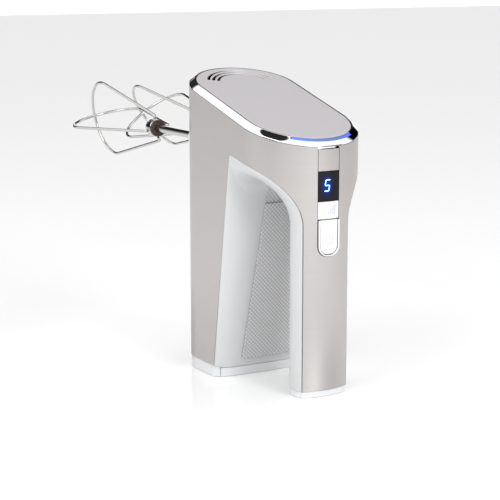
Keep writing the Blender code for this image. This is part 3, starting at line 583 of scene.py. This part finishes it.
def profile_line(foot, arch, low_column, low_handle, counts):
    """Side profile from the column's foot, over the arch, to the handle's foot."""
    corner = (foot - COLUMN_LEAN * arch[0][1], arch[0][1])
    column = [(foot - COLUMN_LEAN * z, z) for z in steps(low_column, corner[1], counts[0])]
    over = [bezier(arch, t) for t in steps(0, 1, counts[1])]
    handle = [(arch[3][0], z) for z in steps(arch[3][1], low_handle, counts[2])]
    return column[:-1] + over + handle[1:]


def blend(a, b, t):
    """Smooth step from a to b."""
    t = max(0.0, min(1.0, t))
    return a + (b - a) * t * t * (3 - 2 * t)


def cross_section(edge, middle, share, count):
    """One section of the liner, from the left edge through the middle to the right."""
    start = math.radians(blend(0.0, HANDLE_START, share))
    power = 2.0 / blend(COLUMN_POWER, 2.0, share)
    behind = -abs(math.sin(start)) ** power
    run = Vector(middle) - Vector(edge)
    edge = Vector(edge) + run.normalized() * GAP
    reach = (Vector(middle) - edge) / (1 - behind)
    centre = Vector(middle) - reach
    wide = (half_width_at(edge[0]) - GAP / 2) / math.cos(start) ** power
    points = []
    for turn in steps(start, math.pi - start, count):
        across = -math.copysign(abs(math.cos(turn)) ** power, math.cos(turn))
        along = math.copysign(abs(math.sin(turn)) ** power, math.sin(turn))
        spot = centre + reach * along
        points.append((wide * across, spot[0], spot[1]))
    return points


def column_face(x, z, outward=0.0):
    """Place along Y of the column's face, outward of it by a distance."""
    reach = MIDDLE_FOOT - EDGE_FOOT
    along = max(0.0, 1 - abs(x / HALF_WIDTH) ** COLUMN_POWER) ** (1 / COLUMN_POWER)
    return EDGE_FOOT - COLUMN_LEAN * z + reach * along - outward


def grid(rows):
    """A grid of points skinned with quads, as an open bmesh."""
    work = bmesh.new()
    points = [[work.verts.new(p) for p in row] for row in rows]
    for lower, upper in zip(points, points[1:]):
        for k in range(len(lower) - 1):
            work.faces.new((lower[k], lower[k + 1], upper[k + 1], upper[k]))
    return work


def thickened(mesh, amount):
    """An open mesh given a wall; a negative amount grows it outwards."""
    item = loose("wall", mesh)
    step = item.modifiers.new("wall", "SOLIDIFY")
    step.thickness = abs(amount) * MM
    step.offset = -1.0 if amount > 0 else 1.0
    step.use_even_offset = True
    result = evaluated(item)
    bpy.data.objects.remove(item, do_unlink=True)
    return result


# ---- casing -----------------------------------------------------------------------------
def cover_limit(extra=0.0):
    """Angle on the rear ellipse at which the rear cover ends."""
    return math.degrees(math.asin((REAR_COVER_HALF + extra) / HALF_WIDTH))


def wall(outer, inner, foot):
    """A wall between two plan paths, from a level foot up to the slanted plane."""
    outline = outer + inner[::-1]
    work = bmesh.new()
    low = [work.verts.new((x, y, foot)) for x, y in outline]
    high = [work.verts.new((x, y, top_plane(y))) for x, y in outline]
    count = len(outline)
    join_rings(work, low, high)
    for k in range(len(outer) - 1):
        for ring in (low, high):
            work.faces.new((ring[k], ring[k + 1], ring[count - 2 - k], ring[count - 1 - k]))
    return mesh_of("wall", work)


def wrap_path(inset):
    """The steel's plan path, from one rear edge round the front to the other."""
    edge = cover_limit(GAP)
    return ([rear_point(a, inset) for a in steps(-edge, -90, 30)]
            + [front_point(a, inset) for a in steps(-90, 90, 120)]
            + [rear_point(a, inset) for a in steps(90, edge, 30)])


def key_outline(half, bottom, top, radius):
    """A U shape with round lower corners, as an XZ outline."""
    turns = [math.radians(a) for a in steps(0, 90, 16)]
    left = [(-half + radius * (1 - math.cos(a)), bottom + radius * (1 - math.sin(a)))
            for a in turns]
    return [(-half, top)] + left + [(-x, z) for x, z in reversed(left)] + [(half, top)]


def block(low, high):
    """A box between two corners, as a mesh."""
    outline = [(low[0], low[1]), (high[0], low[1]), (high[0], high[1]), (low[0], high[1])]
    return prism(outline, low[2], high[2])


def opening():
    """The side opening between column and handle, right through along X."""
    return prism(profile_line(EDGE_FOOT, ARCH_EDGE, -5.0, -5.0, (1, 64, 1)), -60, 60, "X")


def make_steel():
    """The wrapped sheet, with its opening, foot line and control window cut out."""
    skin = wall(wrap_path(0.0), wrap_path(SKIN), HEEL_BAND + GAP)
    band = block((-60, -60, -5), (60, 60, BASE_BAND + GAP))
    window = prism(key_outline(STRIP_HALF + GAP, WINDOW_FOOT, 200.0, WINDOW_ROUND),
                   -120, -90, "Y")
    piece("steel_wrap", carved(skin, opening(), band, window), SURFACES["brushed_steel"],
          "casing", ["steel_skin"])


def make_liner():
    """White wall of column, arch and grip."""
    counts = (24, 64, 24)
    edges = profile_line(EDGE_FOOT, ARCH_EDGE, BASE_BAND + GAP, HEEL_BAND + GAP, counts)
    middles = profile_line(MIDDLE_FOOT, MIDDLE_ARCH, BASE_BAND + GAP, HEEL_BAND + GAP, counts)
    rows = []
    for k, (edge, middle) in enumerate(zip(edges, middles)):
        rows.append(cross_section(edge, middle, (k - counts[0]) / counts[1], 56))
    liner = thickened(mesh_of("liner", grid(rows), outward=False), SHELL)
    guard = carved(wall(wrap_path(-1.0), wrap_path(SKIN + GAP), 1.0), opening())
    piece("liner", carved(liner, guard), LINER_PLASTIC, "casing",
          ["inner_liner"])


def make_grip():
    """The textured pad on the column's face."""
    rows = []
    for z in steps(PAD_FOOT, PAD_TOP, 60):
        half = PAD_HALF_FOOT - PAD_TAPER * z / PAD_TOP
        rows.append([(x, column_face(x, z, PAD_LIFT), z) for x in steps(-half, half, 36)])
    mesh = thickened(mesh_of("grip", grid(rows), outward=False), -PAD_THICKNESS)
    soften(piece("grip_pad", mesh, SURFACES["textured_grey"], "casing",
                 ["grip_panel"]), 0.3)


def swept(section, path, closed=True):
    """An (inset, rise) section swept round a plan path on the slanted plane."""
    work = bmesh.new()
    loops = [[work.verts.new((x, y, top_plane(y) + rise)) for x, y in path(inset)]
             for inset, rise in section]
    count = len(loops[0])
    for a, b in zip(loops, loops[1:] + loops[:1]):
        for k in range(count if closed else count - 1):
            n = (k + 1) % count
            work.faces.new((a[k], a[n], b[n], b[k]))
    if not closed:
        work.faces.new([loop[0] for loop in loops])
        work.faces.new([loop[-1] for loop in loops])
    return mesh_of("swept", work)


def light_path(extra):
    """Plan path along the front of the ring, a little longer by extra degrees."""
    end = LIGHT_HALF_ANGLE + extra
    return lambda inset: [front_point(a, inset) for a in steps(-end, end, 64)]


def make_ring():
    """The chrome ring, the light in it and the silver cap inside it."""
    section = ((0, GAP), (0, 0.7), (0.15, 1.0), (3.4, RING_RISE - 0.15), (3.6, RING_RISE),
               (4.4, RING_RISE), (4.4, 1.4), (6.5, 1.4), (6.5, -3.0),
               (SHELL + GAP, -3.0), (SHELL + GAP, GAP))
    slot = swept(((2.2, 0.9), (2.2, 6.0), (5.2, 6.0), (5.2, 0.9)), light_path(1.0), False)
    ring = carved(swept(section, plan_outline), slot)
    piece("trim_ring", ring, SURFACES["chrome"], "casing", ["chrome_ring"])
    guide = ((2.5, 1.2), (2.5, 2.75), (3.5, 3.55), (4.35, 3.55), (4.35, 1.2))
    piece("light_bar", swept(guide, light_path(0.0), False), SURFACES["blue_light"],
          "casing", ["light_guide"])
    work = bmesh.new()
    outline = plan_outline(RING_INSET + 0.7)
    ends = [[work.verts.new((x, y, top_plane(y) + rise)) for x, y in outline]
            for rise in (1.7, RING_RISE)]
    for end in ends:
        work.faces.new(end)
    join_rings(work, *ends)
    slots = [prism(arc_slot(radius, VENT_HALF, VENT_HALF_ANGLE, VENT_CENTRE), 150, 220)
             for radius in VENT_RADII]
    cap = carved(mesh_of("cap", work), *slots)
    soften(piece("top_cap", cap, PAINTED_SHADE_SILVER, "casing",
                 ["nose_cap"]), 0.25)


def arc_slot(radius, half, angle, centre_y):
    """Plan outline of a square-ended slot that follows an arc."""
    def at(r, degrees):
        turn = math.radians(degrees)
        return (r * math.sin(turn), centre_y + r * math.cos(turn))
    outer = [at(radius + half, a) for a in steps(-angle, angle, 48)]
    inner = [at(radius - half, a) for a in steps(angle, -angle, 48)]
    return outer + inner


def make_rear():
    """The plastic back with the beater outlets and the charging socket's hole."""
    edge = cover_limit()
    cover = wall([rear_point(a) for a in steps(-edge, edge, 72)],
                 [rear_point(a, SHELL) for a in steps(-edge, edge, 72)], BASE_BAND + GAP)
    holes = []
    for name in ("socket_collar_left", "socket_collar_right"):
        low, high = corners(name)
        radius = (high.x - low.x) / 2 + GAP
        holes.append(disc((low.x + high.x) / 2, (low.z + high.z) / 2, radius))
    holes.append(disc(0.0, CHARGE_HEIGHT, CHARGE_RADIUS + GAP))
    piece("back_cover", carved(cover, *holes), SURFACES["white_plastic"], "casing",
          ["rear_cover"])


def disc(x, z, radius):
    """A round bar along Y through the rear cover."""
    return prism([(x + radius * math.cos(math.tau * k / 64),
                   z + radius * math.sin(math.tau * k / 64)) for k in range(64)], 8, 60, "Y")


# ---- controls ---------------------------------------------------------------------------
def front_panel(name, node, front, back, surface, body, edge):
    """A curved panel that follows the front, between two insets."""
    low, high = corners(node)
    limit = math.degrees(math.asin(high.x / HALF_WIDTH))
    outline = [front_point(a, front) for a in steps(-limit, limit, 24)]
    outline += [front_point(a, back) for a in steps(limit, -limit, 24)]
    made = piece(name, prism(outline, low.z, high.z), surface, body, [node])
    return soften(made, edge)


def make_controls():
    """Strip, display, both buttons and the bezel round the power button."""
    front_panel("top_strip", "control_strip", 0.0, SKIN, SURFACES["brushed_steel"], "casing",
                0.12)
    front_panel("display_glass", "display_window", 0.1, 1.8, DISPLAY_BLACK,
                "casing", 0.12)
    front_panel("speed_key", "speed_button", -0.1, 1.6, SURFACES["white_plastic"],
                "speed_button", 0.3)
    low, high = corners("key_bezel")
    outer = key_outline(STRIP_HALF, low.z, high.z, 6.2)
    inner = key_outline(STRIP_HALF - 1.0, low.z + 1.0, high.z, 5.2)
    bezel = piece("key_rim", prism(outer + inner[::-1], low.y, high.y, "Y"),
                  SURFACES["chrome"], "casing", ["key_bezel"])
    soften(bezel, 0.3, 4)
    low, high = corners("power_button")
    cap = piece("power_key", prism(key_outline(high.x, low.z, high.z, 4.9), low.y, high.y, "Y"),
                SURFACES["white_plastic"], "power_button", ["power_button"])
    soften(cap, 0.5, 4)


DIGIT_WIDE, DIGIT_TALL, DIGIT_BAR = 3.1, 6.6, 0.55
DIGIT_SLANT = 0.16
DIGIT_DEPTH = 0.06        # behind the front face of the steel
BAR_HEIGHTS = (2.0, 3.2, 4.4, 5.6)
BAR_FOOT, BAR_WIDE, BAR_PITCH, BAR_START = 111.6, 0.95, 1.45, -0.8
MARK_LIFT = 0.02          # marks stand this far in front of their key
SIGN_HEIGHT = 96.6
SIGN_INNER, SIGN_OUTER = 2.4, 3.0
SIGN_START, SIGN_END = 125, 415


def make_digit():
    """The lit figure 5 as five slanted bars on the display's glass."""
    centre_x, centre_z = DIGIT_PLACE
    half_w, half_t = DIGIT_WIDE / 2, DIGIT_TALL / 2
    bars = (((-half_w, half_t), (half_w, half_t)), ((-half_w, half_t), (-half_w, 0)),
            ((-half_w, 0), (half_w, 0)), ((half_w, 0), (half_w, -half_t)),
            ((half_w, -half_t), (-half_w, -half_t)))
    work = bmesh.new()
    y = SKIN_LOW.y + DIGIT_DEPTH
    for start, end in bars:
        a, b = Vector(start), Vector(end)
        along = (b - a).normalized()
        a, b = a + along * DIGIT_BAR * 0.45, b - along * DIGIT_BAR * 0.45
        side = Vector((-along.y, along.x)) * DIGIT_BAR / 2
        tip = along * DIGIT_BAR / 2
        shape = (a - tip * 0.8, a + side, b + side, b + tip * 0.8, b - side, a - side)
        work.faces.new([work.verts.new((centre_x + p.x + DIGIT_SLANT * p.y, y,
                                         centre_z + p.y))
                        for p in shape])
    mesh = thickened(mesh_of("digit", work), 0.03)
    piece("display_digit", mesh, DIGIT_LIT, "casing")


def make_icons():
    """Four rising bars on the speed key and a power sign on the power key."""
    y = corners("speed_button")[0].y - MARK_LIFT
    work = bmesh.new()
    for k, height in enumerate(BAR_HEIGHTS):
        low_x = BAR_START + k * BAR_PITCH
        high_x, top = low_x + BAR_WIDE, BAR_FOOT + height
        corner = ((low_x, BAR_FOOT), (high_x, BAR_FOOT), (high_x, top), (low_x, top))
        work.faces.new([work.verts.new((x, y + 0.12 * abs(x) / 4, z)) for x, z in corner])
    piece("speed_icon", thickened(mesh_of("bars", work), 0.04), ICON_GREY, "speed_button")
    y = corners("power_button")[0].y - MARK_LIFT
    work = bmesh.new()
    turns = [math.radians(a) for a in steps(SIGN_START, SIGN_END, 32)]
    for a, b in zip(turns, turns[1:]):
        shape = ((SIGN_INNER, a), (SIGN_OUTER, a), (SIGN_OUTER, b), (SIGN_INNER, b))
        work.faces.new([work.verts.new((r * math.cos(t), y, SIGN_HEIGHT + r * math.sin(t)))
                        for r, t in shape])
    foot, top = SIGN_HEIGHT + 0.4, SIGN_HEIGHT + 3.3
    corner = ((-0.3, foot), (0.3, foot), (0.3, top), (-0.3, top))
    work.faces.new([work.verts.new((x, y, z)) for x, z in corner])
    piece("power_icon", thickened(mesh_of("sign", work), 0.04), POWER_GREY, "power_button")


# ---- beaters ----------------------------------------------------------------------------
BEATER_X, BEATER_Z = 19.5, 146.6
HUB_START, HUB_RADIUS, WIRE_RADIUS = 80.0, 5.8, 1.0
LOOP_CENTRE, LOOP_RADIUS = 158.2, 26.3
BEND = (8.7, 80.6)
SHAFT_RADIUS = 2.5
LOOP_DEPTH = 24.4         # from the loop's widest place to its tip
LEFT_TURN, RIGHT_TURN = 101.5, 123.5     # degrees by which the loops are turned at rest


def wire_points(depth):
    """Half of one wire loop as (radius, y), from the hub to the tip."""
    slope, start = -1.0, 0.0
    for k in range(-600, 400):
        turn = math.radians(k / 10)
        rise = LOOP_RADIUS * math.cos(turn) - BEND[0]
        run = LOOP_CENTRE + depth * math.sin(turn) - BEND[1]
        if math.atan2(rise, run) > slope:
            slope, start = math.atan2(rise, run), turn
    arc = [(LOOP_RADIUS * math.cos(a), LOOP_CENTRE + depth * math.sin(a))
           for a in steps(start, math.pi / 2, 40)]
    foot = HUB_RADIUS + GAP
    hook = [(foot + 0.05, BEND[1] + 3.3), (foot + 0.8, BEND[1] + 3.1),
            (foot + 1.8, BEND[1] + 2.0), (foot + 2.6, BEND[1] + 1.7),
            (foot + 3.1, BEND[1] + 2.9)]
    return hook + arc


def make_wire(side, which, x, angle, depth):
    """One loop of round wire across the beater."""
    half = wire_points(depth)
    whole = half + [(-r, y) for r, y in half[-2::-1]]
    turn = math.radians(angle)
    curve = bpy.data.curves.new("wire", "CURVE")
    curve.dimensions = "3D"
    curve.bevel_depth = WIRE_RADIUS * MM
    curve.bevel_resolution = 7
    curve.use_fill_caps = True
    line = curve.splines.new("POLY")
    line.points.add(len(whole) - 1)
    for point, (radius, y) in zip(line.points, whole):
        point.co = ((x + radius * math.cos(turn)) * MM, y * MM,
                    (BEATER_Z + radius * math.sin(turn)) * MM, 1.0)
    holder = loose("wire", curve)
    mesh = evaluated(holder)
    bpy.data.objects.remove(holder, do_unlink=True)
    for face in mesh.polygons:
        face.use_smooth = True
    piece(f"wire_{which}_{side}", mesh, BEATER_STEEL, f"beater_{side}",
          [f"beater_wire_{which}_{side}"], 60)


def make_beater(side, x, angle):
    """Shaft, dark seal, hub and two crossed wire loops."""
    body = f"beater_{side}"
    shaft = ((0, -18.9), (1.7, -18.9), (SHAFT_RADIUS, -17.5), (SHAFT_RADIUS, 8.0), (2.0, 8.6),
             (2.0, 10.6), (SHAFT_RADIUS, 11.2), (SHAFT_RADIUS, 87.7), (2.2, 88.0), (0, 88.0))
    bore = SHAFT_RADIUS + GAP
    seal = ((bore, HUB_START), (HUB_RADIUS - 0.6, HUB_START), (HUB_RADIUS - 0.1, HUB_START + 0.6),
            (HUB_RADIUS - 0.1, HUB_START + 1.8), (bore, HUB_START + 1.8))
    hub = ((bore, HUB_START + 2.1), (HUB_RADIUS - 0.2, HUB_START + 2.1),
           (HUB_RADIUS, HUB_START + 2.3), (HUB_RADIUS, HUB_START + 8.4),
           (HUB_RADIUS - 0.3, HUB_START + 8.9), (HUB_RADIUS - 1.0, HUB_START + 9.4),
           (bore, HUB_START + 9.4))
    for name, profile, surface in (("shaft", shaft, "chrome"), ("seal", seal, "dark_plastic"),
                                   ("hub", hub, "chrome")):
        finish = BEATER_STEEL if surface == "chrome" else SURFACES[surface]
        piece(f"{name}_{side}", turned(profile, x, BEATER_Z), finish, body,
              [f"beater_{name}_{side}"])
    make_wire(side, "outer", x, angle, LOOP_DEPTH)
    make_wire(side, "inner", x, angle + 90.0, LOOP_DEPTH - 2 * WIRE_RADIUS - GAP)


make_steel()
make_liner()
make_grip()
make_ring()
make_rear()
make_controls()
make_digit()
make_icons()
make_beater("left", -BEATER_X, LEFT_TURN)
make_beater("right", BEATER_X, RIGHT_TURN)

# The CAD nodes that stay in sight get a small round on their edges.
for name in ("base_rim", "handle_foot", "battery_door", "socket_collar_left",
             "socket_collar_right", "charge_port"):
    soften(NODES[name], 0.25, 2)


# ---- stage, light and camera --------------------------------------------------------------
GLOSS_REACH = (0.12, 0.30)   # metres from the origin between which the floor's polish fades
FLOOR_WHITE = (0.98, 0.98, 0.98)
FLOOR_SIZE = 6000.0          # half the floor's width


def make_stage():
    """A plain white floor, polished near the mixer and matt further off."""
    work = bmesh.new()
    bmesh.ops.create_grid(work, x_segments=8, y_segments=8, size=FLOOR_SIZE)
    floor = loose("floor", mesh_of("floor", work, outward=False))
    white = patterned("floor_white", FLOOR_WHITE, 0.16, 0.0, (3, 3, 3), 0.004, 0.01,
                      0.0000001, Specular_IOR_Level=0.35)
    nodes, links = white.node_tree.nodes, white.node_tree.links
    axes = object_axes(nodes, links)
    across = math_node(nodes, links, "MULTIPLY", axes["X"], axes["X"])
    along = math_node(nodes, links, "MULTIPLY", axes["Y"], axes["Y"])
    away = math_node(nodes, links, "SQRT", math_node(nodes, links, "ADD", across, along))
    matt = nodes.new("ShaderNodeBsdfDiffuse")
    matt.inputs["Color"].default_value = (*FLOOR_WHITE, 1.0)
    both = nodes.new("ShaderNodeMixShader")
    links.new(fade(nodes, links, away, *GLOSS_REACH), both.inputs["Fac"])
    links.new(matt.outputs["BSDF"], both.inputs[1])
    links.new(nodes["Principled BSDF"].outputs["BSDF"], both.inputs[2])
    links.new(both.outputs["Shader"], nodes["Material Output"].inputs["Surface"])
    floor.data.materials.append(white)
    floor.location.z = -0.0002


# Each dark card of the tent: its direction, the cosines where it starts and is full.
DARK_CARDS = (
    ((-0.95, -0.25, 0.12), 0.955, 0.972),
    ((0.643, -0.766, 0.12), 0.905, 0.955),
    ((0.90, 0.35, 0.10), 0.960, 0.975),
    ((0.855, 0.320, 0.410), 0.968, 0.982),
    ((0.300, 0.943, 0.145), 0.9920, 0.9965),
    ((-0.263, -0.065, 0.962), 0.955, 0.966),
)
BACKDROP = (0.514, 0.857, 0.0)   # middle of the white backdrop
FRAME_INNER = (0.905, 0.930)     # cosines between which a dark frame round it starts
FRAME_OUTER = (0.560, 0.440)     # and ends
CARD_LIGHT = 0.02
WORLD_STRENGTH = 1.20


def make_world():
    """A pale tent with a dark frame round the backdrop and dark cards for the chrome."""
    world = bpy.data.worlds.new("studio")
    bpy.context.scene.world = world
    world.use_nodes = True
    nodes, links = world.node_tree.nodes, world.node_tree.links
    place = nodes.new("ShaderNodeTexCoord")

    def facing(direction):
        made = nodes.new("ShaderNodeVectorMath")
        made.operation = "DOT_PRODUCT"
        made.inputs[1].default_value = Vector(direction).normalized()
        links.new(place.outputs["Generated"], made.inputs[0])
        return made.outputs["Value"]

    towards = facing(BACKDROP)
    light = math_node(nodes, links, "MAXIMUM",
                      fade(nodes, links, towards, *FRAME_INNER, CARD_LIGHT, 1.0),
                      fade(nodes, links, towards, *reversed(FRAME_OUTER), 1.0, CARD_LIGHT))
    for direction, start, end in DARK_CARDS:
        shade = fade(nodes, links, facing(direction), start, end, 1.0, CARD_LIGHT)
        light = math_node(nodes, links, "MULTIPLY", light, shade)
    # The camera sees a plain white backdrop. All other light meets the dark frame and cards.
    seen = nodes.new("ShaderNodeLightPath").outputs["Is Camera Ray"]
    light = math_node(nodes, links, "MAXIMUM", light, seen)
    links.new(light, nodes["Background"].inputs["Color"])
    nodes["Background"].inputs["Strength"].default_value = WORLD_STRENGTH


def make_light(name, place, aim, size, power):
    """A soft square light pointed at a place."""
    data = bpy.data.lights.new(name, "AREA")
    data.shape = "SQUARE"
    data.size = size
    data.energy = power
    light = bpy.data.objects.new(name, data)
    bpy.context.scene.collection.objects.link(light)
    light.location = place
    light.rotation_mode = "QUATERNION"
    light.rotation_quaternion = (Vector(aim) - Vector(place)).to_track_quat("-Z", "Y")


CAMERA_PLACE = (-0.489704, -0.825386, 0.259006)
CAMERA_AZIMUTH, CAMERA_ELEVATION = -30.934, 10.936
LENS, SENSOR_WIDTH = 108.0, 36.0


def make_camera():
    """The photograph's view: a long lens from the front left, a little above."""
    azimuth, elevation = math.radians(CAMERA_AZIMUTH), math.radians(CAMERA_ELEVATION)
    back = Vector((math.sin(azimuth) * math.cos(elevation),
                   -math.cos(azimuth) * math.cos(elevation), math.sin(elevation)))
    right = Vector((math.cos(azimuth), math.sin(azimuth), 0.0))
    up = back.cross(right)
    data = bpy.data.cameras.new("camera")
    data.lens = LENS
    data.sensor_width = SENSOR_WIDTH
    camera = bpy.data.objects.new("camera", data)
    bpy.context.scene.collection.objects.link(camera)
    turn = Matrix((right, up, back)).transposed().to_4x4()
    camera.matrix_world = Matrix.Translation(CAMERA_PLACE) @ turn
    bpy.context.scene.camera = camera


make_stage()
make_world()
make_light("key", (-0.9, -0.3, 0.9), (0, 0, 0.1), 0.7, 4.0)
make_light("fill", (0.17, -1.3, 0.6), (0, -0.05, 0.1), 0.45, 6.0)
make_camera()
bpy.context.scene.view_settings.view_transform = "Standard"
